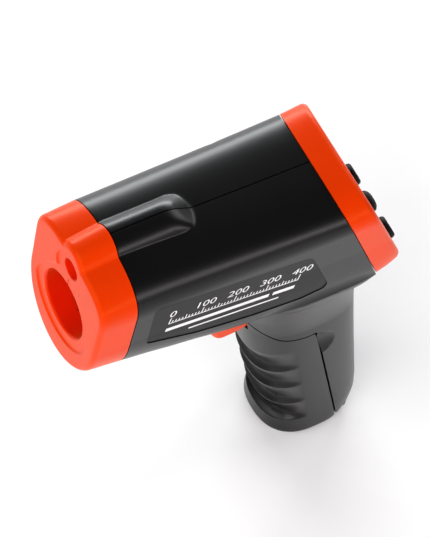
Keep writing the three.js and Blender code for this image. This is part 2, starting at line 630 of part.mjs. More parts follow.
// ---- Assembly ----
const model = new THREE.Group();

function add(name, solid, material) {
  const mesh = new THREE.Mesh(toGeometry(solid), material);
  mesh.name = name;
  model.add(mesh);
}

const shell = housingShell();
add('nose_cap', noseCap(), orange());
add('left_housing', half(shell, -1), blackPlastic());
add('right_housing', half(shell, 1), blackPlastic());
add('rear_bezel', rearBezel(), orange());
add('display_window', displayWindow(), clear());
['button_down', 'button_mode', 'button_up'].forEach((name, i) => add(name, button(i - 1), rubber()));
add('battery_door', batteryDoor(), blackPlastic());
add('door_hinge_pin', across(DOOR_HINGE.back, DOOR_HINGE.rise, 0.85, -10.4, 10.4, 12), steel());
add('label_left', labelPlate(-1), darkLabel());
add('label_right', labelPlate(1), darkLabel());
POSTS.forEach((post, i) => add(`housing_screw_${i + 1}`, screw(post), steel()));

add('trigger', trigger(), orange());
add('trigger_pin', across(TRIGGER_PIVOT.back, TRIGGER_PIVOT.rise, 1.1, -9, 9, 14), steel());
add('trigger_spring', triggerSpring(), steel());
add('trigger_switch', triggerSwitch(), blackPlastic());
add('switch_plunger', switchPlunger(), ivory());

add('ir_lens', lens(), ivory());
add('lens_barrel', lensBarrel(), blackPlastic());
add('thermopile_sensor', thermopile(), steel());
add('sensor_board', sensorBoard(), board());
add('sensor_screw_1', sensorScrew(-9.3), steel());
add('sensor_screw_2', sensorScrew(9.3), steel());
add('laser_module', laserModule(), brass());
add('laser_lens', laserLens(), clear());
add('laser_board', laserBoard(), board());

add('main_board', mainBoard(), board());
add('main_chip', mainChip(), blackPlastic());
add('buzzer', buzzer(), blackPlastic());
add('lcd_panel', lcdPanel(), finish(0x8f9c86, 0.3));
add('lcd_backlight', lcdBacklight(), ivory());
add('lcd_contact', lcdContact(), finish(0xd6a0a0, 0.7));
add('display_board', displayBoard(), board());
[-1, 0, 1].forEach((step, i) => add(`key_switch_${i + 1}`, keySwitch(step), blackPlastic()));

add('battery', battery(), finish(0x3b4a55, 0.35, 0.4));
add('battery_snap', batterySnap(), rubber());
const LEADS = {
  battery_lead_red: [[[75.5, 3, -46.2], [75.8, 3.4, -42], [77, 5, -30], [72, 5, -20], [69.5, 5, -12], [67, 5, 1],
    [66.5, 5, 4.4]], 0xb3201c],
  battery_lead_black: [[[77.5, -3, -45.7], [77.6, -3.4, -42], [78, -5, -30], [72.5, -5, -20.5], [70.5, -5, -12],
    [70, -4, 1], [69.5, -4, 4.4]], 0x111111],
  laser_lead: [[[26, 0, 18], [34, 2, 19.5], [44, 8, 17], [52, 9, 10], [55, 9, 7]], 0xc9c4b8],
  switch_lead: [[[74, 1, -30], [76, 1, -25.5], [72, 1, -19.5], [69, 1, -11], [67.6, 1.6, 1],
    [67.4, 1.6, 4.4]], 0x2a5fa8],
};
Object.entries(LEADS).forEach(([name, [route, colour]]) => add(name, tube(route, 0.6, 16), finish(colour, 0.6)));

export default model;
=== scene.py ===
"""Looks of a pistol-shaped infrared thermometer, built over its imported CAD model.

Places in this script are (back, side, rise) in millimetres, as in the CAD: the distance
behind the nose's front face, the distance to the right, the height over the bore's axis.
"""

import json
import math

import bmesh
import bpy
import numpy as np
from mathutils import Matrix, Vector


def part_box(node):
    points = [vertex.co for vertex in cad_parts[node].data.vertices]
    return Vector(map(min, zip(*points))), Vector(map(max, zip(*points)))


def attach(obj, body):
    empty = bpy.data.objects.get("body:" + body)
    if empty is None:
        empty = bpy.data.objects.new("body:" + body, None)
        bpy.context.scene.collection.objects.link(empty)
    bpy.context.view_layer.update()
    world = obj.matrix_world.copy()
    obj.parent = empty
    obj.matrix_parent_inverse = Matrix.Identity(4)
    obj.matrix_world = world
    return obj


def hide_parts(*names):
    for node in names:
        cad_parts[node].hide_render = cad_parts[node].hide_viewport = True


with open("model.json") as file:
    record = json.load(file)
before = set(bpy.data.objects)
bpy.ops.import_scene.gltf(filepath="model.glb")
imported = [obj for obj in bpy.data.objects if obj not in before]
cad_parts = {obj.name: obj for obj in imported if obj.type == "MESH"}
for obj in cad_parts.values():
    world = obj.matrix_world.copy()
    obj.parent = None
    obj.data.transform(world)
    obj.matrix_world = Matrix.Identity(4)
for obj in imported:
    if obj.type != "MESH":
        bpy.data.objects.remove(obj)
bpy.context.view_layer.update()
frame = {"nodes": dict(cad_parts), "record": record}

NOSE_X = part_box("nose_cap")[0].x * 1000
AXIS_Z = sum(corner.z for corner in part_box("ir_lens")) * 500
BASE_RISE = -AXIS_Z

# ---- Driving dimensions, in millimetres ----
TILT = math.radians(24.5)
REAR_SHEAR = math.tan(TILT)
SEAM_SHEAR = 0.43
RIDGE = 24
SHOULDER = 13.7
WALL = 2
GAP = 0.3
NOSE_LENGTH = 10.7
REAR_SEAM = 70.8
RIM = 79.1
BORE_R = 9.8
LASER_RISE = 18
LASER_HOLE_R = 3.1
PANEL_R = 13.7
HANDLE_HALF = 13.2
HANDLE_RAKE = 0.257
WINDOW = (13, -7, 15.5)
BUTTON_SPACING = 9.2
BUTTON_R = 3.3
PANEL_DEPTH = 0.5
PANEL_SHOULDER = 11.7
LIP_R = 0.8
PANEL_MIDDLE = 8
BUTTON_DROP = -18.4
DOOR_PIN = (96.5, BASE_RISE + 2.1)
TRIGGER_PIVOT = (55, -17.5)
TRIGGER_HALF = 5.5
POSTS = [(19, -16), (52, 16.5), (76, -13.5), (84.5, -37.5)]
BUMP_TOP = 29.25
BUMP_TUBE_R = 7
FLANGE_R = 4.3
DOOR_GAP = 0.6
HEEL_R = 2
PIN_ROOM_R = 1.15
TRIGGER_BORE_R = 1.4
HALF_PINCH = 0.4  # how much narrower the body is at its lower edge
FRONT_POWER = 2.4  # superellipse power of the grip's front
FLARE = 4.8  # how much wider the grip is at its top
FACE_CENTRE = (RIM + REAR_SHEAR * 22.15, 2.5)
BATTERY_CENTRE, BATTERY_LEAN = (84.6, -73.2), math.radians(14.4)
EDGE_R = 1.5
TIP_R = 0.002  # stands in for a radius of zero
LCD_FRONT = -3.02  # just in front of the LCD panel
FAR = 60  # beyond every piece
FINE = 1
BOX_FACES = [(0, 1, 3, 2), (4, 6, 7, 5), (0, 4, 5, 1), (2, 3, 7, 6), (0, 2, 6, 4), (1, 5, 7, 3)]


# ---- Smooth tables ----
def smooth_table(points, column, reach=5):
    """A function of the first column, with the corners of its polyline rounded off."""
    table = sorted(tuple(map(float, row)) for row in points)
    at = [row[0] for row in table]
    grid = np.arange(at[0] - 20, at[-1] + 20, 0.2)
    window = np.hanning(int(reach / 0.2) | 1)
    raw = np.interp(grid, at, [row[column] for row in table])
    pad = len(window) // 2
    padded = np.concatenate([np.full(pad, raw[0]), raw, np.full(pad, raw[-1])])
    smooth = np.convolve(padded, window / window.sum(), "valid")
    return lambda x: np.interp(x, grid, smooth)


# back, lean, half, top, bottom, top power, bottom power
BODY = [
    (0, 0, 18.0, 24.1, -22, 2.8, 2),
    (10.7, 0, 18.5, 26.0, -22.5, 2.5, 2.2),
    (19, 0.02, 18.6, 25.8, -22.6, 2.5, 2.6),
    (30, 0.1, 18.8, 25.3, -23, 2.5, 3.5),
    (42, 0.2, 19, 24.8, -23.3, 2.5, 5.5),
    (56, 0.31, 19.3, 24.2, -23.4, 2.5, 6),
    (REAR_SEAM, SEAM_SHEAR, 19.7, 23.8, -23.4, 2.5, 6),
    (RIM, REAR_SHEAR, 20.1, 24.6, -22, 2.6, 3),
]
lean_at, half_at, top_at, bottom_at, top_power_at, bottom_power_at = (
    smooth_table(BODY, column) for column in range(1, 7))
bump_top_at = smooth_table([(0, 26.9), (10.7, BUMP_TOP), (60, BUMP_TOP)], 1, 4)
BUMP_HALF = 6.4
BUMP_END = 28.3
BUMP_SLOPE = math.radians(32)

# rise, back
front_at = smooth_table([
    (-12, 48), (-22, 52.5), (-41, 58.3), (-56, 62), (-65, 64.2), (-79, 68.2), (-93.4, 72.3), (-105.2, 75.9),
    (-110, 77), (-114, 77.3), (-120.2, 77.8)], 1, 3)
rear_at = smooth_table([
    (-12, 90), (-24, 90.8), (-32, 92), (-40, 94), (-70, 99.9), (-102, 106.4), (-109, 107.4), (-114.7, 107),
    (-120.2, 104.8)], 1, 4)
CRESTS = [-62, -75.6, -88.6, -101.5, -114.4]
GROOVE_DEPTHS = [1.8, 1.9, 1.9, 2.7]


# ---- Shapes as distances: negative inside, in mm ----
def soft_min(a, b, k):
    h = np.clip(0.5 + 0.5 * (b - a) / k, 0, 1)
    return b + (a - b) * h - k * h * (1 - h)


def soft_max(a, b, k):
    return -soft_min(-a, -b, k)


def round_edge(a, b, edge):
    """The inside of both a and b, with the edge where they meet rounded."""
    rounded = np.hypot(np.maximum(a + edge, 0), np.maximum(b + edge, 0)) - edge
    return np.where((a > -edge) | (b > -edge), rounded, np.maximum(a, b))


def super_gap(x, y, wide, tall, power):
    """About the distance from a superellipse, along the line to its centre."""
    n = ((np.abs(x) / wide) ** power + (np.abs(y) / tall) ** power) ** (1 / power)
    return np.hypot(x, y) * (1 - 1 / np.maximum(n, 1e-4))


def body_section(back, rise, station):
    """The leaning section through a place, found from a first guess: half width, height, reach, power."""
    for _ in range(7):
        station = back - lean_at(station) * (RIDGE - rise)
    upper = rise > SHOULDER
    wide = half_at(station) - HALF_PINCH * np.clip(1 - rise / SHOULDER, 0, 1)
    height = np.where(upper, rise - SHOULDER, np.minimum(rise, 0))
    tall = np.where(upper, top_at(station) - SHOULDER, -bottom_at(station))
    power = np.where(upper, top_power_at(station), bottom_power_at(station))
    return wide, height, tall, power


def body_gap(p):
    back, side, rise = p
    wide, height, tall, power = body_section(back, rise, back - 0.2 * (RIDGE - rise))
    return super_gap(side, height, wide, tall, power)


def bump_gap(p):
    back, side, rise = p
    tube = super_gap(side, rise - (bump_top_at(back) - BUMP_TUBE_R), BUMP_HALF, BUMP_TUBE_R, 2)
    along = back - BUMP_END + 0.07 * side ** 2
    end = along * math.sin(BUMP_SLOPE) + (rise - BUMP_TOP) * math.cos(BUMP_SLOPE)
    return soft_max(tube, end, 1.6)


def groove_depth(back, rise):
    along = rise - HANDLE_RAKE * (back - 70)
    depth = np.zeros_like(along)
    for upper, lower, deep in zip(CRESTS, CRESTS[1:], GROOVE_DEPTHS):
        t = np.clip((upper - along) / (upper - lower), 0, 1)
        scoop = np.sin(np.pi / 2 * np.clip(t / 0.8, 0, 1)) ** 1.5
        ledge = np.cos(np.pi / 2 * np.clip((t - 0.8) / 0.2, 0, 1)) ** 1.2
        depth += deep * scoop * ledge
    return depth


def grip_section(rise):
    """Half width of the grip and the superellipse power of its rear at a height."""
    flare = np.clip((rise + 50) / 28, 0, 1)
    return HANDLE_HALF + FLARE * flare ** 1.4, 3 + 2.5 * flare ** 3


def grip_gap(p):
    back, side, rise = p
    half, rear_power = grip_section(rise)
    front, rear = front_at(rise), rear_at(rise)
    x = (back - (front + rear) / 2) / ((rear - front) / 2)
    power = np.where(x < 0, FRONT_POWER, rear_power)
    gap = super_gap(x * (rear - front) / 2, side, (rear - front) / 2, half, power)
    fade = np.clip((-0.3 - x) / 0.5, 0, 1) ** 0.8
    gap = gap + groove_depth(back, rise) * fade
    return round_edge(gap, BASE_RISE - rise, 1.6) + np.maximum(rise + 19, 0)


def shell_gap(p):
    """The black plastic: the body, its bump and the grip, run together by fillets."""
    body = soft_min(body_gap(p), bump_gap(p), 0.45)
    return soft_min(body, grip_gap(p), 6)


def nose_gap(p):
    return round_edge(soft_min(body_gap(p), bump_gap(p), 0.5), -p[0], EDGE_R)


def rim_level(p):
    """Distance beyond the plane of the rear rim."""
    back, _, rise = p
    return (back - RIM - REAR_SHEAR * (RIDGE - rise)) * math.cos(TILT)


def bezel_gap(p):
    return round_edge(body_gap(p), rim_level(p), EDGE_R)


# ---- Meshes ----
def turn(count):
    """The angles of a full turn in equal steps."""
    return np.arange(count) / count * 2 * np.pi


def to_metres(points):
    return (np.asarray(points, float) + (NOSE_X, 0, AXIS_Z)) * 0.001


def from_metres(points):
    return np.asarray(points, float) * 1000 - (NOSE_X, 0, AXIS_Z)


def new_object(name, points, faces):
    mesh = bpy.data.meshes.new(name)
    mesh.from_pydata(to_metres(points).tolist(), [], faces)
    obj = bpy.data.objects.new(name, mesh)
    bpy.context.scene.collection.objects.link(obj)
    return obj


def outward(obj):
    if volume(obj.data) < 0:
        obj.data.flip_normals()


def closed(name, points, faces):
    """A closed solid with its faces turned outward."""
    obj = new_object(name, points, faces)
    outward(obj)
    return obj


def loft(name, rings):
    """A closed solid through rings that all have the same number of points."""
    rings = np.asarray(rings, float)
    rows, count, _ = rings.shape
    faces = [list(range(count))[::-1], [(rows - 1) * count + i for i in range(count)]]
    for r in range(rows - 1):
        for i in range(count):
            j = (i + 1) % count
            faces.append([r * count + i, r * count + j, (r + 1) * count + j, (r + 1) * count + i])
    return closed(name, rings.reshape(-1, 3), faces)


def vertices_of(mesh):
    flat = np.empty(len(mesh.vertices) * 3)
    mesh.vertices.foreach_get("co", flat)
    return flat.reshape(-1, 3)


def volume(mesh):
    mesh.calc_loop_triangles()
    corners = vertices_of(mesh)
    index = np.empty(len(mesh.loop_triangles) * 3, dtype=np.int64)
    mesh.loop_triangles.foreach_get("vertices", index)
    a, b, c = (corners[index.reshape(-1, 3)[:, k]] for k in range(3))
    return float(np.einsum("ij,ij->i", a, np.cross(b, c)).sum())


def bake(obj):
    """Makes what the object's modifiers show its own mesh."""
    shown = obj.evaluated_get(bpy.context.evaluated_depsgraph_get())
    mesh = bpy.data.meshes.new_from_object(shown)
    obj.modifiers.clear()
    old, obj.data = obj.data, mesh
    bpy.data.meshes.remove(old)
    mesh.name = obj.name


def combine(obj, others, operation="DIFFERENCE"):
    """Takes the others away from obj, or adds them to it, and discards them."""
    for other in others:
        step = obj.modifiers.new("combine", "BOOLEAN")
        step.solver = "MANIFOLD"
        step.operation = operation
        step.object = other
        bake(obj)
        bpy.data.objects.remove(other)
    return obj


def copy_of(obj, name):
    twin = obj.copy()
    twin.data = obj.data.copy()
    twin.name = name
    bpy.context.scene.collection.objects.link(twin)
    return twin


def slope(gap, p, step=0.02):
    parts = []
    for k in range(3):
        ahead, behind = [q.copy() for q in p], [q.copy() for q in p]
        ahead[k] = ahead[k] + step
        behind[k] = behind[k] - step
        parts.append((gap(ahead) - gap(behind)) / (2 * step))
    return np.array(parts)


def settle(obj, gap, voxel):
    """Remeshes a rough solid finely and lays its surface exactly on gap = 0."""
    remesh = obj.modifiers.new("remesh", "REMESH")
    remesh.mode = "VOXEL"
    remesh.voxel_size = voxel * 0.001
    finer = obj.modifiers.new("finer", "SUBSURF")
    finer.subdivision_type = "SIMPLE"
    finer.levels = 1
    bake(obj)
    mesh = obj.data
    p = list(from_metres(vertices_of(mesh)).T)
    for _ in range(6):
        away = gap(p)
        steep = slope(gap, p)
        move = np.clip(away, -1.2, 1.2) * steep / np.maximum((steep ** 2).sum(0), 0.05)
        p = [a - m for a, m in zip(p, move)]
    mesh.vertices.foreach_set("co", to_metres(np.array(p).T).ravel())
    mesh.update()
    return obj


SLIVER = 4e-6  # metres
NEAR_SURFACE = 0.04  # mm
SAME_SLOPE, SAME_WAY = 0.96, 0.9998  # cosines


def shade(obj, gap=None, angle=32):
    """Smooth shading with crisp edges, and the true slope of gap wherever a face follows it."""
    mesh = obj.data
    work = bmesh.new()
    work.from_mesh(mesh)
    bmesh.ops.dissolve_degenerate(work, dist=SLIVER, edges=work.edges)
    work.to_mesh(mesh)
    work.free()
    mesh.polygons.foreach_set("use_smooth", np.ones(len(mesh.polygons), dtype=bool))
    mesh.set_sharp_from_angle(angle=math.radians(angle))
    if gap is None:
        return
    loops = len(mesh.loops)
    normals = np.empty(loops * 3, dtype=np.float32)
    mesh.corner_normals.foreach_get("vector", normals)
    normals = normals.reshape(-1, 3).astype(float)
    corner = np.empty(loops, dtype=np.int32)
    mesh.loops.foreach_get("vertex_index", corner)
    place = list(from_metres(vertices_of(mesh)).T)
    steep = slope(gap, place).T
    steep /= np.maximum(np.linalg.norm(steep, axis=1, keepdims=True), 1e-6)
    face_normals = np.empty(len(mesh.polygons) * 3)
    mesh.polygons.foreach_get("normal", face_normals)
    face_of = np.repeat(np.arange(len(mesh.polygons)), [p.loop_total for p in mesh.polygons])
    face_normals = face_normals.reshape(-1, 3)[face_of]
    true = steep[corner]
    match = np.einsum("ij,ij->i", true, face_normals)
    match[np.abs(gap(place))[corner] > NEAR_SURFACE] = 0
    follows = match > SAME_SLOPE
    normals[follows] = true[follows]
    for way in ((1, 0, 0), (math.cos(TILT), 0, math.sin(TILT))):
        flat_face = np.abs(face_normals @ np.array(way)) > SAME_WAY
        normals[flat_face] = face_normals[flat_face]
    mesh.normals_split_custom_set(normals.tolist())


def box_solid(name, backs, sides, rises):
    return closed(name, [(b, s, r) for b in backs for s in sides for r in rises], BOX_FACES)


def turned(name, profile, side=0, rise=0, segments=96):
    """A round solid about a line along the bore's direction: profile points are (radius, back)."""
    rings = [[(back, side + max(radius, TIP_R) * math.cos(a), rise + max(radius, TIP_R) * math.sin(a))
              for a in turn(segments)] for radius, back in profile]
    return loft(name, rings)


def across(name, back, rise, radius, sides, segments=48):
    """A cylinder from side to side."""
    return loft(name, [[(back + radius * math.cos(a), side, rise + radius * math.sin(a))
                        for a in turn(segments)] for side in sides])


def prism(name, outline, sides):
    """A solid with a side-view outline of (back, rise) points."""
    return loft(name, [[(back, side, rise) for back, rise in outline] for side in sides])


def round_corners(outline, radius, steps=6):
    """Replaces the corners of an outline by arcs that start radius away from them."""
    result = []
    count = len(outline)
    for i in range(count):
        before, here, after = (np.array(outline[(i + k) % count], float) for k in (-1, 0, 1))
        lengths = [np.linalg.norm(before - here), np.linalg.norm(after - here)]
        reach = min(radius, 0.45 * min(lengths))
        start = here + (before - here) / lengths[0] * reach
        end = here + (after - here) / lengths[1] * reach
        for k in range(steps + 1):
            t = k / steps
            result.append(tuple((1 - t) ** 2 * start + 2 * t * (1 - t) * here + t * t * end))
    return result


def unit_quarter(power, steps=20):
    """A quarter of a superellipse of unit size."""
    angles = np.arange(steps + 1) / steps * np.pi / 2
    return [(abs(math.cos(a)) ** (2 / power) if a < np.pi / 2 else 0, math.sin(a) ** (2 / power))
            for a in angles]


def body_ring(back, inset=0):
    half = half_at(back) - inset
    upper = [(a * half, SHOULDER + b * (top_at(back) - inset - SHOULDER))
             for a, b in unit_quarter(top_power_at(back))]
    lower = [(a * (half - HALF_PINCH), b * (bottom_at(back) + inset))
             for a, b in unit_quarter(bottom_power_at(back))]
    outline = upper + [(-s, r) for s, r in upper[-2::-1]] + [(-s, r) for s, r in lower] + lower[-2::-1]
    return [(back + lean_at(back) * (RIDGE - r), s, r) for s, r in outline]


def body_loft(name, backs, inset=0):
    """A loft of body sections. A place may be (back, inset) to change the inset on the way."""
    places = [back if isinstance(back, tuple) else (back, inset) for back in backs]
    return loft(name, [body_ring(*place) for place in places])


def bump_loft(name, backs, inset=0):
    angles = turn(48)
    return loft(name, [[(back, (BUMP_HALF - inset) * math.sin(a),
                         bump_top_at(back) - inset - BUMP_TUBE_R + BUMP_TUBE_R * math.cos(a))
                        for a in angles] for back in backs])


def grip_ring(rise, inset=0, room=None):
    half, rear_power = grip_section(rise)
    half -= 2.6 if room else inset
    front = room(rise) if room else front_at(rise) + inset
    rear = rear_at(rise) - inset
    middle, depth = (front + rear) / 2, (rear - front) / 2
    ring = []
    for i in range(72):
        angle = i / 72 * 2 * np.pi
        c, s = math.cos(angle), math.sin(angle)
        power = 2 / (FRONT_POWER if c < 0 else rear_power)
        ring.append((middle + depth * math.copysign(abs(c) ** power, c),
                     half * math.copysign(abs(s) ** power, s), rise))
    return ring


room_front_at = smooth_table([
    (-6, 53.5), (-24, 55), (-41, 60.2), (-58, 65.2), (-73, 70.2), (-87, 74), (-99, 77.6), (-104, 81),
    (-120.2, 83)], 1, 3)


def grip_room(name):
    rises = np.linspace(BASE_RISE + WALL, -10, 40)
    return loft(name, [grip_ring(rise, 1.6, room_front_at) for rise in rises])


def smooth_open(points, steps=6):
    """A Catmull-Rom curve from the first point to the last."""
    padded = [points[0]] + list(points) + [points[-1]]
    result = []
    for p0, p1, p2, p3 in zip(padded, padded[1:], padded[2:], padded[3:]):
        result += [catmull(p0, p1, p2, p3, step / steps) for step in range(steps)]
    return result + [tuple(points[-1])]


def catmull(p0, p1, p2, p3, t):
    p0, p1, p2, p3 = (np.array(p, float) for p in (p0, p1, p2, p3))
    return tuple(0.5 * (2 * p1 + (p2 - p0) * t + (2 * p0 - 5 * p1 + 4 * p2 - p3) * t * t
                        + (3 * p1 - p0 - 3 * p2 + p3) * t ** 3))


def seam_back(rise):
    return 80.1 + (-54.3 - rise) * 0.292


def door_region(name, margin):
    """The part of the grip that is door, with the room its heel needs to swing."""
    low = BASE_RISE - 10
    top = [(seam_back(-58) + margin, -58), (seam_back(-55.6) + margin - 0.2, -55.6),
           (79.4 + margin, -54.3 + margin), (76.4, -54.4 + margin), (69.5, -52.9 + margin),
           (63.6, -48.2 + margin), (59.2, -44 + margin), (54, -41 + margin), (40, -38 + margin)]
    outline = [(40, low), (seam_back(low) + margin, low)] + smooth_open(top)
    back, rise = DOOR_PIN
    region = prism(name, outline, (-30, 30))
    heel_room, corner = (box_solid(part, (back, 130), (-35, 35), (BASE_RISE - 12, rise))
                         for part in ("heel room", "corner"))
    combine(region, [heel_room])
    heel = across("heel", back, rise, HEEL_R + margin, (-29, 29), 64)
    swing = across("swing", back, rise, HEEL_R + 3.2 * margin, (-29, 29), 64)
    combine(swing, [corner], "INTERSECT")
    return combine(region, [heel, swing], "UNION")


def handle_box(name, backs, sides, ups):
    """A box that leans with the battery, about the battery's middle."""
    back, rise = BATTERY_CENTRE
    c, s = math.cos(BATTERY_LEAN), math.sin(BATTERY_LEAN)
    return closed(name, [(back + b * c - u * s, side, rise + u * c + b * s)
                         for b in backs for side in sides for u in ups], BOX_FACES)


def battery_room(name):
    return handle_box(name, (-12.65, 12.65), (-8.15, 8.15), (-23.65, 29.25))


def envelope():
    """The whole black outside as one closed solid, before it is cut into pieces."""
    backs = [4, 8, 12, 19, 27, 34, 42, 50, 60, 68, 76]
    rough = body_loft("envelope", backs)
    bump = bump_loft("bump", [4, 12, 20, 26, 30])
    rises = [BASE_RISE + 0.2, BASE_RISE + 1.5] + list(np.linspace(-116, -14, 36))
    grip = loft("grip", [grip_ring(rise) for rise in rises])
    combine(rough, [bump, grip], "UNION")
    return settle(rough, shell_gap, 0.95 / FINE)


# ---- Labels: surfaces that follow the body's flank ----
LABEL = [(15.9, -3.6), (15.7, 14.4), (17.2, 15.4), (62.2, 9.6), (64.2, 8), (72.2, -11), (71.6, -13.4),
         (64.2, -14.6), (48.8, -12.6), (32, -9.4)]


def flank(back, rise, offset=0):
    """How far to the side the body reaches, less offset."""
    back, rise = np.asarray(back, float), np.asarray(rise, float)
    wide, height, tall, power = body_section(back, rise, back)
    share = np.clip(1 - np.abs(height / tall) ** power, 1e-3, 1) ** (1 / power)
    return wide * share - offset


def flank_slab(name, sign, inner, outer):
    """A closed slab along the flank, between two offsets from its surface."""
    backs = np.linspace(12, 76, 81)
    rises = np.linspace(-18, 18, 46)
    rows, columns = len(rises), len(backs)
    grid_back, grid_rise = np.meshgrid(backs, rises)
    points = []
    for offset in (inner, outer):
        side = sign * (flank(grid_back, grid_rise, offset) if abs(offset) < 4 else 26 + 0 * grid_back)
        points += list(zip(grid_back.ravel(), side.ravel(), grid_rise.ravel()))
    at = lambda layer, r, c: layer * rows * columns + r * columns + c
    faces = []
    for r in range(rows - 1):
        for c in range(columns - 1):
            quad = [(r, c), (r, c + 1), (r + 1, c + 1), (r + 1, c)]
            faces.append([at(1, *q) for q in quad])
            faces.append([at(0, *q) for q in quad[::-1]])
    edge = ([(0, c) for c in range(columns)] + [(r, columns - 1) for r in range(1, rows)]
            + [(rows - 1, c) for c in range(columns - 2, -1, -1)]
            + [(r, 0) for r in range(rows - 2, 0, -1)])
    for a, b in zip(edge, edge[1:] + edge[:1]):
        faces.append([at(1, *b), at(1, *a), at(0, *a), at(0, *b)])
    return closed(name, points, faces)


def grown(outline, margin):
    centre = np.array([45, -1])
    result = []
    for point in outline:
        offset = np.array(point) - centre
        result.append(tuple(centre + offset * (1 + margin / np.linalg.norm(offset))))
    return result


def label_cutter(name, sign, margin):
    outline = round_corners(grown(LABEL, margin), 1.4)
    return prism(name, outline, (sign * 8, sign * 30))


def label_pocket(sign):
    pocket = flank_slab("pocket", sign, 0.7, -9)
    return combine(pocket, [label_cutter("outline", sign, 0)], "INTERSECT")


def label_plate(sign):
    plate = flank_slab("label", sign, 0.68, 0.22)
    return combine(plate, [label_cutter("outline", sign, -0.12)], "INTERSECT")


def strip(x0, x1, y0, y1, steps=1):
    xs = np.linspace(x0, x1, steps + 1)
    return [[(a, y0), (b, y0), (b, y1), (a, y1)] for a, b in zip(xs, xs[1:])]


def number_mesh(text, size):
    curve = bpy.data.curves.new("number", "FONT")
    curve.body = text
    curve.size = size
    curve.align_x = "CENTER"
    curve.resolution_u = 3
    obj = bpy.data.objects.new("number", curve)
    bpy.context.scene.collection.objects.link(obj)
    mesh = bpy.data.meshes.new_from_object(obj.evaluated_get(bpy.context.evaluated_depsgraph_get()))
    bpy.data.objects.remove(obj)
    points = [tuple(v.co[:2]) for v in mesh.vertices]
    faces = [list(p.vertices) for p in mesh.polygons]
    bpy.data.meshes.remove(mesh)
    return points, faces


def label_print(sign):
    """White marks on the label: a plain temperature scale, and two bars."""
    points, faces = [], []

    def add_shapes(shapes):
        for shape in shapes:
            faces.append(list(range(len(points), len(points) + len(shape))))
            points.extend(shape)

    def add_number(text, size, x, y):
        marks, rings = number_mesh(text, size)
        start = len(points)
        points.extend((x + a, y + b) for a, b in marks)
        faces.extend([start + i for i in ring] for ring in rings)

    zero, half_tick = -22, 0.16
    add_shapes(strip(-22.2, 18.2, -0.2, 0.2, 30))
    for i in range(41):
        tall = 2.9 if i % 10 == 0 else 2.1 if i % 5 == 0 else 1.4
        near, far = zero + i - half_tick, zero + i + half_tick
        add_shapes([[(near, 0), (far, 0), (far, tall), (near, tall)]])
    for i in range(5):
        add_number(str(i * 100), 4.4, zero + i * 10, 3.6)
    add_shapes(strip(zero, 10, -4.2, -2.6, 20))
    add_shapes(strip(11.2, 18, -4.2, -2.6, 8))
    add_shapes(strip(-14, 14, -7, -6.3, 24))
    slant = sign * math.radians(7)
    middle = 43.5 if sign < 0 else 40
    placed = []
    for x, y in points:
        along = middle - sign * (x * math.cos(slant) - y * math.sin(slant))
        rise = 0.4 + x * math.sin(slant) + y * math.cos(slant)
        placed.append((along, sign * float(flank(along, rise, 0.17)), rise))
    return new_object("print", placed, faces)


# ---- The black housings and the battery door ----
def hollow(name):
    """The room inside the shell, with the screw posts and trigger bearings left standing."""
    backs = [5, 12, 19, 27, 34, 42, 50, 60, 68, 78]
    room = body_loft(name, backs, WALL)
    bump = bump_loft("bump room", [5, 12, 20, 27, 30], 1.6)
    combine(room, [bump, grip_room("grip room")], "UNION")
    combine(room, [battery_room("battery room")], "UNION")
    posts = [across("post", back, rise, 3.4, (-40, 40)) for back, rise in POSTS]
    back, rise = TRIGGER_PIVOT
    posts += [across("bearing", back, rise, 3, sides) for sides in ((-40, -6.3), (6.3, 40))]
    return combine(room, posts)


def thumb_dimple(sign):
    """A ball that leaves a shallow scoop beside the door's joint line, where a thumb pushes the door."""
    radius, deep, bands = 19, 1.8, 24
    back, side, rise = 80.5, sign * (HANDLE_HALF + radius - deep), -62.6
    rings = []
    for i in range(1, bands):
        angle = i / bands * np.pi
        rings.append([(back + radius * math.sin(angle) * math.cos(a),
                       side + radius * math.sin(angle) * math.sin(a), rise + radius * math.cos(angle))
                      for a in turn(bands * 4)])
    return loft("dimple", rings)


def trigger_slot():
    outline = [(45.6, -14), (45.6, -50.9), (59.4, -50.9), (63.4, -49.7), (66, -48), (66, -14)]
    return prism("slot", outline, (-5.8, 5.8))


def seam(rise, start=REAR_SEAM):
    """Where the bezel's joint line lies at a height."""
    return start + SEAM_SHEAR * (RIDGE - rise)


def housing(outside, room, sign):
    """One half of the black shell, with its cuts, its hinge ear and, on the left, two ribs."""
    piece = copy_of(outside, "shell")
    ahead = box_solid("ahead", (-30, NOSE_LENGTH), (-FAR, FAR), (-FAR, FAR))
    behind = prism("behind", [(seam(FAR), FAR), (170, FAR), (170, -33), (seam(-33), -33)], (-FAR, FAR))
    other = box_solid("other", (-40, 160), (-GAP / 2, FAR) if sign < 0 else (-FAR, GAP / 2), (-150, 80))
    cuts = [ahead, behind, other, door_region("door region", DOOR_GAP), copy_of(room, "room"), trigger_slot(),
            across("pin bore", *TRIGGER_PIVOT, TRIGGER_BORE_R, (-9.3, 9.3)), label_pocket(sign),
            thumb_dimple(sign)]
    for back, rise in POSTS:
        if sign < 0:
            cuts.append(across("thread", back, rise, 1.25, (-8.2, 5)))
        else:
            cuts.append(across("bolt", back, rise, 1.45, (-5, 12)))
            cuts.append(across("sink", back, rise, 2.6, (7.6, 40)))
    combine(piece, cuts)
    back, rise = DOOR_PIN
    sides = (-10.6, -8) if sign < 0 else (8, 10.6)
    ear = across("ear", back, rise, 1.9, sides)
    arm = box_solid("arm", (back, 103.6), sides, (rise - 1.4, rise + 1.6))
    combine(ear, [arm], "UNION")
    combine(ear, [across("bore", back, rise, PIN_ROOM_R, (-12, 12))])
    ribs = [joint_rib(0.9, (-12, -4)), joint_rib(-0.9, (-9.8, -4))] if sign < 0 else []
    return combine(piece, [ear] + ribs, "UNION")


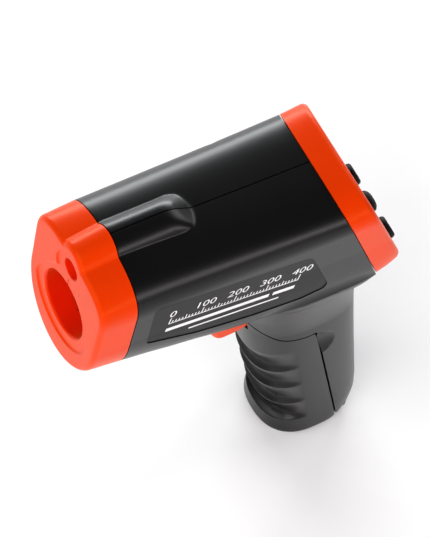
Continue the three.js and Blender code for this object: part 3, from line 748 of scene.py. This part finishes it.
def joint_rib(ahead, sides):
    """A rib inside the grip that stands behind the door's joint line below the battery."""
    low, high = -114.5, -95
    outline = [(seam_back(low) + ahead, low), (seam_back(low) + 2.8, low), (seam_back(high) + 2.8, high),
               (seam_back(high) + ahead, high)]
    return prism("rib", outline, sides)


def battery_door(outside):
    piece = copy_of(outside, "battery_door_shell")
    combine(piece, [door_region("door region", 0)], "INTERSECT")
    combine(piece, [grip_room("grip room")])
    back, rise = DOOR_PIN
    knuckle = across("knuckle", back, rise, HEEL_R, (-7.4, 7.4), 64)
    web = box_solid("web", (back - 2.6, back + 1), (-7.4, 7.4), (BASE_RISE + 0.4, rise))
    combine(knuckle, [web], "UNION")
    combine(piece, [knuckle], "UNION")
    cuts = [across("pin room", back, rise, PIN_ROOM_R, (-11, 11))]
    cuts += [box_solid("lug slot", (back - 2.6, 110), sides, (-125, rise + 3))
             for sides in ((-11, -7.6), (7.6, 11))]
    cuts += [trigger_slot(), battery_room("battery room")]
    return combine(piece, cuts)


# ---- The orange nose and rear bezel ----
def panel_outline(count=160):
    """The rim of the shallow panel, found by halving along rays.

    It is a circle round the bore with two straight shoulders, joined to a circle round the laser.
    """
    angles = turn(count)
    low, high = np.zeros(count), np.full(count, 30.0)
    for _ in range(30):
        reach = (low + high) / 2
        side, rise = reach * np.sin(angles), PANEL_MIDDLE + reach * np.cos(angles)
        shoulder = (np.abs(side) * 0.88 + rise * 0.475) - PANEL_SHOULDER
        round_part = soft_max(np.hypot(side, rise) - PANEL_R, shoulder, 2)
        gap = soft_min(round_part, np.hypot(side, rise - LASER_RISE + 1.6) - 6.3, 0.8)
        low, high = np.where(gap < 0, reach, low), np.where(gap < 0, high, reach)
    return np.stack([reach * np.sin(angles), PANEL_MIDDLE + reach * np.cos(angles)], 1)


def panel_cutter():
    """Levels are (back, inset). The rings beyond them dish the floor slightly."""
    outline = panel_outline()
    levels = [(-3, -0.55), (-0.05, -0.5), (0.06, -0.25), (0.22, -0.06), (0.36, 0.04), (0.45, 0.18),
              (PANEL_DEPTH, 0.45)]
    rings = [[(back, side, rise) for side, rise in pulled_in(outline, inset)] for back, inset in levels]
    floor_edge = rings[-1]
    for share in np.linspace(0.9, 0.1, 9):
        back = PANEL_DEPTH + 0.02 * (1 - share)
        rings.append([(back, side * share, PANEL_MIDDLE + (rise - PANEL_MIDDLE) * share)
                      for _, side, rise in floor_edge])
    return loft("panel", rings)


def nose():
    rough = body_loft("nose", [0.2, 2, 5, 8, NOSE_LENGTH + 2.5])
    combine(rough, [bump_loft("bump", [0.2, 3, 7, NOSE_LENGTH + 2.5])], "UNION")
    settle(rough, nose_gap, 0.6 / FINE)
    lip = [(BORE_R + LIP_R - LIP_R * math.sin(a), PANEL_DEPTH + LIP_R - LIP_R * math.cos(a))
           for a in np.linspace(0.35, np.pi / 2, 7)]
    bore = turned("bore", [(0, -5), (BORE_R + 1.3, -5), (BORE_R + 1.3, PANEL_DEPTH - 0.2)] + lip
                  + [(BORE_R, 40), (0, 40)], segments=120)
    laser = turned("laser", [(0, -5), (LASER_HOLE_R + 0.5, -5), (LASER_HOLE_R + 0.5, PANEL_DEPTH - 0.2),
                             (LASER_HOLE_R + 0.09, PANEL_DEPTH + 0.09), (LASER_HOLE_R, PANEL_DEPTH + 0.3),
                             (LASER_HOLE_R, 40), (0, 40)], 0, LASER_RISE, 64)
    behind = box_solid("behind", (NOSE_LENGTH - GAP, FAR), (-FAR, FAR), (-FAR, FAR))
    combine(rough, [behind])
    combine(rough, [body_loft("spigot", [9, 15], WALL + GAP)], "UNION")
    inside = body_loft("inside", [(2.8, 2.2), (6.5, 2.2), (7.5, 3.8), (18, 3.8)])
    combine(inside, [bump_loft("bump inside", [4, 9, 18], 2.4)], "UNION")
    tube = turned("tube", [(0, 0), (11.2, 0), (11.2, 30), (0, 30)])
    sleeve = turned("sleeve", [(0, 0), (4.7, 0), (4.7, 30), (0, 30)], 0, LASER_RISE)
    combine(inside, [tube, sleeve])
    combine(rough, [inside])
    combine(rough, [turned("tube wall", [(0, 8), (11.17, 8), (11.17, 23), (0, 23)], segments=120)], "UNION")
    return combine(rough, [panel_cutter(), bore, laser])


def on_face(out, side, up):
    """A place by its distance out of the rear face, to the side and up along it."""
    back, rise = FACE_CENTRE
    return (back + out * math.cos(TILT) - up * math.sin(TILT), side,
            rise + out * math.sin(TILT) + up * math.cos(TILT))


def face_disc(name, profile, side, up, segments=64):
    rings = [[on_face(out, side + max(radius, TIP_R) * math.cos(a), up + max(radius, TIP_R) * math.sin(a))
              for a in turn(segments)] for radius, out in profile]
    return loft(name, rings)


def bezel():
    rough = body_loft("bezel", [REAR_SEAM - 2.5, REAR_SEAM, 74, RIM - 0.2])
    settle(rough, bezel_gap, 0.6 / FINE)
    start = REAR_SEAM + GAP
    ahead = prism("ahead", [(seam(FAR, start), FAR), (-FAR, FAR), (-FAR, -FAR), (seam(-FAR, start), -FAR)],
                  (-FAR, FAR))
    combine(rough, [ahead])
    combine(rough, [body_loft("skirt", [67.5, 72], WALL + GAP)], "UNION")
    recess = body_loft("recess", [
        (RIM - 1.34, 9), (RIM - 1.33, 7), (RIM - 1.32, 5), (RIM - 1.3, 3), (RIM - 1.22, 2.7),
        (RIM - 1.05, 2.5), (RIM - 0.8, 2.4), (RIM - 0.35, 2.4), (RIM - 0.12, 2.3), (RIM - 0.02, 2.1),
        (RIM + 0.02, 1.5), (90, 1.5)])
    inside = body_loft("inside", [(60, 3.6), (REAR_SEAM, 3.6), (72.2, 3.6), (72.7, 2.2), (76.3, 2.2)])
    window = window_ring("window", [
        (-20, 0), (-1.6, 0), (-1.45, -0.05), (-1.3, -0.2), (-1.2, -0.6), (5, -0.6)], 1.6)
    r = BUTTON_R + 0.35
    hole = [(0, -30), (r, -30), (r, -0.6), (r + 0.08, -0.35), (r + 0.3, -0.2), (r + 0.3, 10), (0, 10)]
    holes = [face_disc("hole", hole, step * BUTTON_SPACING, BUTTON_DROP) for step in (-1, 0, 1)]
    return combine(rough, [recess, inside, window] + holes)


def window_ring(name, levels, radius):
    """A solid through rounded rectangles round the window: levels are (out, inset)."""
    half, low, high = WINDOW
    rings = []
    for out, inset in levels:
        wide, tall = half - inset, (high - low) / 2 - inset
        outline = round_corners([(-wide, -tall), (wide, -tall), (wide, tall), (-wide, tall)], radius)
        rings.append([on_face(out, x, (low + high) / 2 + y) for x, y in outline])
    return loft(name, rings)


# ---- Trigger, buttons, window ----
def smooth_closed(points, steps=8):
    """A closed Catmull-Rom curve through the points."""
    count = len(points)
    return np.array([catmull(*(points[(i + k) % count] for k in (-1, 0, 1, 2)), step / steps)
                     for i in range(count) for step in range(steps)])


def pulled_in(outline, amount):
    ahead, behind = np.roll(outline, -1, 0), np.roll(outline, 1, 0)
    along = ahead - behind
    along /= np.linalg.norm(along, axis=1, keepdims=True)
    area = np.sum(outline[:, 0] * ahead[:, 1] - ahead[:, 0] * outline[:, 1])
    inward = np.stack([-along[:, 1], along[:, 0]], 1) * (1 if area > 0 else -1)
    return outline + inward * amount


def trigger():
    outline = smooth_closed([
        (52.6, -17), (49.8, -21.5), (48.1, -28), (47.6, -35), (48.6, -42), (50.4, -47.6), (52.4, -50.2),
        (55.4, -50.6), (59.4, -50), (62.9, -48.2), (64.6, -45), (64.6, -40.5), (63.9, -36.6), (61.9, -34),
        (61.1, -30.5), (60.6, -25), (58.6, -18.5), (56.4, -14.9), (53.8, -14.9)])
    edge = 1.9
    near, far = [], []
    for rings, side in ((near, -1), (far, 1)):
        for k in range(7):
            angle = k / 6 * np.pi / 2
            inset, at = edge * (1 - math.sin(angle)), TRIGGER_HALF - edge * (1 - math.cos(angle))
            rings.append([(b, side * at, r) for b, r in pulled_in(outline, inset)])
    piece = loft("trigger_blade", near + far[::-1])
    back, rise = TRIGGER_PIVOT
    bore = across("bore", back, rise, TRIGGER_BORE_R, (-20, 20))
    room = box_solid("spring room", (back - 8, back + 4.6), (-2.7, 2.7), (rise - 4.2, rise + 8))
    return combine(piece, [bore, room])


def button(name, step):
    if step == 0:
        crown = [(0, 1.6), (0.8, 1.58), (1.6, 1.47), (2.2, 1.27), (2.7, 0.96), (3.05, 0.6), (3.25, 0.1)]
    else:
        crown = [(0, 1.18), (1.5, 1.2), (2.3, 1.28), (2.7, 1.22), (3, 1.02), (3.2, 0.7), (3.3, 0.3)]
    profile = crown + [(BUTTON_R, -0.4), (BUTTON_R, -2.7), (FLANGE_R, -2.7), (FLANGE_R, -3.4), (0, -3.4)]
    return face_disc(name, profile, step * BUTTON_SPACING, BUTTON_DROP)


def window_pane():
    """A clear pane with a crowned front."""
    levels = [(-2.4, 0.35), (-1.5, 0.35), (-1.2, 0.45), (-1.05, 0.75), (-0.95, 1.2), (-0.85, 2), (-0.8, 4)]
    return window_ring("window_pane", levels, 1.8)


SEGMENTS = {"0": "abcdef", "2": "abged", "3": "abgcd", "5": "afgcd"}


def digit_shapes(x, y, scale, lit):
    """Bars of one seven-bar digit, with slanted ends."""
    wide, tall, thick = 3.4 * scale, 6.2 * scale, 0.85 * scale
    half = thick / 2

    def bar(x0, y0, x1, y1):
        along = np.array([x1 - x0, y1 - y0])
        along = along / np.linalg.norm(along)
        across_bar = np.array([-along[1], along[0]]) * half
        a, b = np.array([x0, y0]) + along * 0.12, np.array([x1, y1]) - along * 0.12
        return [tuple(a), tuple(a + along * half + across_bar), tuple(b - along * half + across_bar),
                tuple(b), tuple(b - along * half - across_bar), tuple(a + along * half - across_bar)]

    lines = {"a": (0, tall, wide, tall), "b": (wide, tall / 2, wide, tall), "c": (wide, 0, wide, tall / 2),
             "d": (0, 0, wide, 0), "e": (0, 0, 0, tall / 2), "f": (0, tall / 2, 0, tall),
             "g": (0, tall / 2, wide, tall / 2)}
    lean = 0.09
    shapes = []
    for key in lit:
        shapes.append([(x + px + lean * py, y + py) for px, py in bar(*lines[key])])
    return shapes


def display_marks():
    """A reading in plain seven-bar digits, a degree ring and a small battery sign."""
    shapes = []
    for i, digit in enumerate("235"):
        shapes += digit_shapes(-8.6 + i * 5.2 + (0.9 if i == 2 else 0), 1.2, 1.2, SEGMENTS[digit])
    shapes.append([(2.1, 1), (2.9, 1), (2.9, 1.8), (2.1, 1.8)])
    for i in range(16):
        a, b = i / 16 * 2 * np.pi, (i + 1) / 16 * 2 * np.pi
        shapes.append([(8.6 + r * math.cos(t), 8.2 + r * math.sin(t))
                       for r, t in ((0.5, a), (0.8, a), (0.8, b), (0.5, b))])
    for x0, x1, y0, y1 in ((-9, -6.2, 12, 12.25), (-9, -6.2, 13.4, 13.65), (-9, -8.75, 12, 13.65),
                           (-6.45, -6.2, 12, 13.65), (-6.2, -5.9, 12.5, 13.1), (-8.6, -7.2, 12.35, 13.3)):
        shapes.append([(x0, y0), (x1, y0), (x1, y1), (x0, y1)])
    shapes += strip(-9, 9.4, -1.2, -1.0)
    for i in range(12):
        shapes += strip(-8.8 + i * 1.5, -7.8 + i * 1.5, -3.6, -3.6 + 0.9 + 0.09 * i)
    points, faces = [], []
    for shape in shapes:
        faces.append(list(range(len(points), len(points) + len(shape))))
        points += [on_face(LCD_FRONT, x, y + 1.5) for x, y in shape]
    return new_object("display_digits", points, faces)


# ---- Materials ----
def hole_shade_mask(tree, place):
    """1 on the walls of the bore and of the laser's hole, 0 elsewhere: the mask for the painted shade there.
    """
    found = []
    for rise, radius in ((0, BORE_R), (LASER_RISE, LASER_HOLE_R)):
        flat = tree.nodes.new("ShaderNodeVectorMath")
        flat.operation = "MULTIPLY_ADD"
        flat.inputs[1].default_value = (0, 1, 1)
        flat.inputs[2].default_value = (0, 0, -(AXIS_Z + rise) / 1000)
        tree.links.new(place.outputs["Object"], flat.inputs[0])
        away = tree.nodes.new("ShaderNodeVectorMath")
        away.operation = "LENGTH"
        tree.links.new(flat.outputs["Vector"], away.inputs[0])
        near = tree.nodes.new("ShaderNodeMapRange")
        near.inputs["From Min"].default_value = (radius + 0.5) / 1000
        near.inputs["From Max"].default_value = (radius + 0.05) / 1000
        tree.links.new(away.outputs["Value"], near.inputs["Value"])
        found.append(near)
    both = tree.nodes.new("ShaderNodeMath")
    both.operation = "MAXIMUM"
    for k in (0, 1):
        tree.links.new(found[k].outputs["Result"], both.inputs[k])
    return both.outputs["Value"]


def material(name, colour, roughness, metallic=0.0, **extra):
    """A finish with colour drift, uneven gloss and a fine grain, and if asked painted shade on the walls of
    the holes; extra holds names of sockets too.
    """
    mat = bpy.data.materials.new(name)
    mat.use_nodes = True
    tree = mat.node_tree
    nodes, links = tree.nodes, tree.links
    shader = nodes["Principled BSDF"]
    place = nodes.new("ShaderNodeTexCoord")
    drift = nodes.new("ShaderNodeTexNoise")
    drift.inputs["Scale"].default_value = extra.get("drift_scale", 60)
    drift.inputs["Detail"].default_value = 4
    links.new(place.outputs["Object"], drift.inputs["Vector"])
    ramp = nodes.new("ShaderNodeValToRGB")
    amount = extra.get("drift", 0.06)
    ramp.color_ramp.elements[0].position = 0.3
    ramp.color_ramp.elements[1].position = 0.7
    ramp.color_ramp.elements[0].color = [c * (1 - amount) for c in colour] + [1]
    ramp.color_ramp.elements[1].color = [min(c * (1 + amount), 1) for c in colour] + [1]
    links.new(drift.outputs["Fac"], ramp.inputs["Fac"])
    # Painted shade: the walls of the bore and the laser's hole get a darker, redder colour. It stands in for
    # the dimming and red interreflection inside them.
    if extra.get("deep_holes"):
        painted_shade = nodes.new("ShaderNodeMix")
        painted_shade.data_type = "RGBA"
        links.new(hole_shade_mask(tree, place), painted_shade.inputs["Factor"])
        links.new(ramp.outputs["Color"], painted_shade.inputs[6])
        painted_shade.inputs[7].default_value = (colour[0] * 0.95, colour[1] * 0.3, colour[2], 1)
        links.new(painted_shade.outputs[2], shader.inputs["Base Color"])
    else:
        links.new(ramp.outputs["Color"], shader.inputs["Base Color"])
    grain = nodes.new("ShaderNodeTexNoise")
    grain.inputs["Scale"].default_value = extra.get("grain_scale", 2600)
    grain.inputs["Detail"].default_value = 3
    links.new(place.outputs["Object"], grain.inputs["Vector"])
    spread = nodes.new("ShaderNodeMapRange")
    spread.inputs["To Min"].default_value = max(roughness - extra.get("gloss_spread", 0.04), 0.02)
    spread.inputs["To Max"].default_value = min(roughness + extra.get("gloss_spread", 0.04), 1)
    links.new(grain.outputs["Fac"], spread.inputs["Value"])
    links.new(spread.outputs["Result"], shader.inputs["Roughness"])
    bump = nodes.new("ShaderNodeBump")
    bump.inputs["Strength"].default_value = extra.get("bump", 0.08)
    bump.inputs["Distance"].default_value = extra.get("bump_depth", 0.00005)
    links.new(grain.outputs["Fac"], bump.inputs["Height"])
    links.new(bump.outputs["Normal"], shader.inputs["Normal"])
    shader.inputs["Metallic"].default_value = metallic
    for socket in ("IOR", "Specular IOR Level", "Coat Weight", "Coat Roughness", "Transmission Weight",
                   "Subsurface Weight", "Sheen Weight"):
        if socket in extra:
            shader.inputs[socket].default_value = extra[socket]
    if "tint" in extra:
        shader.inputs["Specular Tint"].default_value = extra["tint"] + (1,)
        shader.inputs["Sheen Tint"].default_value = (1, 0.5, 0.08, 1)
    if "Subsurface Weight" in extra:
        shader.inputs["Subsurface Radius"].default_value = (0.002, 0.0006, 0.0003)
    return mat


# The orange paints shade on its hole walls, darker and redder than the face.
ORANGE = material("orange_plastic", (0.74, 0.034, 0.0006), 0.32, bump=0.05, drift=0.03,
                  tint=(1, 0.6, 0.12), deep_holes=True, **{"Specular IOR Level": 0.12, "Sheen Weight": 0.12})
BLACK = material("black_plastic", (0.0024, 0.0023, 0.0025), 0.31, bump=0.12, drift=0.15,
                 **{"Specular IOR Level": 0.25})
RUBBER = material("button_rubber", (0.005, 0.0045, 0.004), 0.6, bump=0.2, grain_scale=3500,
                  **{"Specular IOR Level": 0.15})
LABEL_FILM = material("label_film", (0.0026, 0.0026, 0.0028), 0.33, bump=0.05, grain_scale=5000,
                      **{"Specular IOR Level": 0.1})
PRINT = material("label_print", (0.82, 0.82, 0.82), 0.5, bump=0.03)
CLEAR = material("clear_plastic", (0.93, 0.96, 0.95), 0.05, bump=0.01, gloss_spread=0.02,
                 **{"Transmission Weight": 0.95, "IOR": 1.49})
LCD = material("lcd_glass", (0.36, 0.42, 0.33), 0.25, bump=0.02, drift=0.03)
DIGITS = material("display_digits", (0.02, 0.025, 0.03), 0.4, bump=0.02)
STEEL = material("steel", (0.3, 0.305, 0.31), 0.34, 1.0, bump=0.1, grain_scale=900, gloss_spread=0.1)
INNER_BLACK = material("inner_black", (0.012, 0.012, 0.012), 0.6, bump=0.25)
IVORY = material("ivory_plastic", (0.76, 0.72, 0.6), 0.45, bump=0.1)
LENS = material("infrared_lens", (0.74, 0.73, 0.66), 0.3, bump=0.05)
BOARD = material("circuit_board", (0.02, 0.12, 0.045), 0.42, bump=0.3, grain_scale=700,
                 drift=0.3, drift_scale=500)
BRASS = material("brass", (0.7, 0.5, 0.2), 0.28, 1.0, bump=0.08, grain_scale=1200, gloss_spread=0.08)
CONTACT = material("contact_rubber", (0.62, 0.36, 0.36), 0.7, bump=0.2)
BATTERY_CAN = material("battery_can", (0.05, 0.085, 0.12), 0.32, 0.4, bump=0.05, drift=0.1)
VINYL = material("snap_vinyl", (0.016, 0.016, 0.017), 0.55, bump=0.2)
WIRES = {"red_wire": (0.5, 0.02, 0.015), "black_wire": (0.015, 0.015, 0.015),
         "white_wire": (0.6, 0.58, 0.52), "blue_wire": (0.03, 0.12, 0.4)}
FINISHES = {"orange_plastic": ORANGE, "black_plastic": BLACK, "button_rubber": RUBBER,
            "label_film": LABEL_FILM, "clear_plastic": CLEAR, "lcd_glass": LCD, "steel": STEEL,
            "inner_black": INNER_BLACK, "ivory_plastic": IVORY, "infrared_lens": LENS,
            "circuit_board": BOARD, "brass": BRASS, "contact_rubber": CONTACT,
            "battery_can": BATTERY_CAN, "snap_vinyl": VINYL}
FINISHES.update({name: material(name, colour, 0.45, bump=0.1) for name, colour in WIRES.items()})


def dress(obj, finish, slot, body, name, *nodes):
    obj.name = name
    obj.data.name = name
    obj.data.materials.clear()
    obj.data.materials.append(finish)
    if nodes:
        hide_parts(*nodes)
    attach(obj, body)


# ---- Making the pieces ----
outside = envelope()
room = hollow("room")
for side, sign in (("left", -1), ("right", 1)):
    shell = housing(outside, room, sign)
    shade(shell, shell_gap)
    dress(shell, BLACK, "black_plastic", "housing", side + "_housing_shell", side + "_housing")
    plate = label_plate(sign)
    shade(plate)
    dress(plate, LABEL_FILM, "label_film", "housing", side + "_label_plate", "label_" + side)
    marks = label_print(sign)
    dress(marks, PRINT, "label_film", "housing", side + "_label_scale")
door = battery_door(outside)
shade(door, shell_gap)
dress(door, BLACK, "black_plastic", "door", "battery_door_shell", "battery_door")
bpy.data.objects.remove(outside)
bpy.data.objects.remove(room)

front = nose()
shade(front, nose_gap)
dress(front, ORANGE, "orange_plastic", "housing", "nose_cap_shell", "nose_cap")
rear = bezel()
shade(rear, bezel_gap)
dress(rear, ORANGE, "orange_plastic", "housing", "rear_bezel_shell", "rear_bezel")

blade = trigger()
shade(blade)
dress(blade, ORANGE, "orange_plastic", "trigger", "trigger_blade", "trigger")
for step, name in ((-1, "button_down"), (0, "button_mode"), (1, "button_up")):
    cap = button(name, step)
    shade(cap, angle=40)
    dress(cap, RUBBER, "button_rubber", name, name + "_cap", name)
pane = window_pane()
shade(pane, angle=50)
dress(pane, CLEAR, "clear_plastic", "housing", "window_pane", "display_window")
digits = display_marks()
dress(digits, DIGITS, "lcd_glass", "housing", "display_digits")

for part in frame["record"]["subparts"]:
    for holder in frame["nodes"][part["node"]].material_slots:
        holder.material = FINISHES[part["material_slot"]]

# ---- Camera, floor and light ----
AIM = (-0.03295, 0.00996, 0.0811)
DISTANCE = 1.09911
LOOK_HEADING, LOOK_DOWN, ROLL = 47.32, 58.78, 15.64


def make_camera():
    heading, down, roll = map(math.radians, (LOOK_HEADING, LOOK_DOWN, ROLL))
    forward = Vector((math.cos(heading) * math.cos(down), math.sin(heading) * math.cos(down),
                      -math.sin(down)))
    level = forward.cross(Vector((0, 0, 1))).normalized()
    upright = level.cross(forward)
    right = level * math.cos(roll) + upright * math.sin(roll)
    up = right.cross(forward)
    camera = bpy.data.cameras.new("camera")
    camera.lens = 268.2
    camera.sensor_width = 36
    camera.clip_end = 20
    obj = bpy.data.objects.new("camera", camera)
    bpy.context.scene.collection.objects.link(obj)
    obj.matrix_world = Matrix((right, up, -forward)).transposed().to_4x4()
    obj.location = Vector(AIM) - forward * DISTANCE
    bpy.context.scene.camera = obj


def area_light(name, place, aim, size, power, colour=(1, 1, 1)):
    light = bpy.data.lights.new(name, "AREA")
    light.shape = "RECTANGLE"
    light.size, light.size_y = size
    light.energy = power
    light.color = colour
    obj = bpy.data.objects.new(name, light)
    bpy.context.scene.collection.objects.link(obj)
    obj.location = place
    obj.rotation_euler = (Vector(aim) - Vector(place)).to_track_quat("-Z", "Y").to_euler()


def make_studio():
    reach = 3000
    floor = new_object("floor", [(-reach, -reach, -AXIS_Z), (reach, -reach, -AXIS_Z), (reach, reach, -AXIS_Z),
                                 (-reach, reach, -AXIS_Z)], [(0, 1, 2, 3)])
    floor.data.materials.append(material("floor", (0.94, 0.94, 0.94), 0.9, bump=0.0, drift=0.01))
    world = bpy.data.worlds.new("world")
    world.use_nodes = True
    sky = world.node_tree.nodes["Background"]
    sky.inputs["Color"].default_value = (1, 1, 1, 1)
    sky.inputs["Strength"].default_value = 0.11
    bpy.context.scene.world = world
    bpy.context.scene.view_settings.view_transform = "Standard"
    middle = (-0.03, 0, 0.1)
    area_light("front", (-1.05, -0.1, 1.05), middle, (1.3, 1), 16)
    area_light("behind", (0.42, 1.1, 0.34), middle, (1.3, 0.3), 20, (0.95, 0.98, 1))
    area_light("rear", (1.5, 0.2, 0.9), middle, (1, 0.8), 9)
    area_light("near", (0.35, -1.15, 0.5), middle, (1.2, 0.22), 6.5, (1, 0.93, 0.97))
    area_light("low", (-0.8, -0.95, 0.35), middle, (0.6, 0.4), 5, (1, 0.95, 0.94))


make_camera()
make_studio()
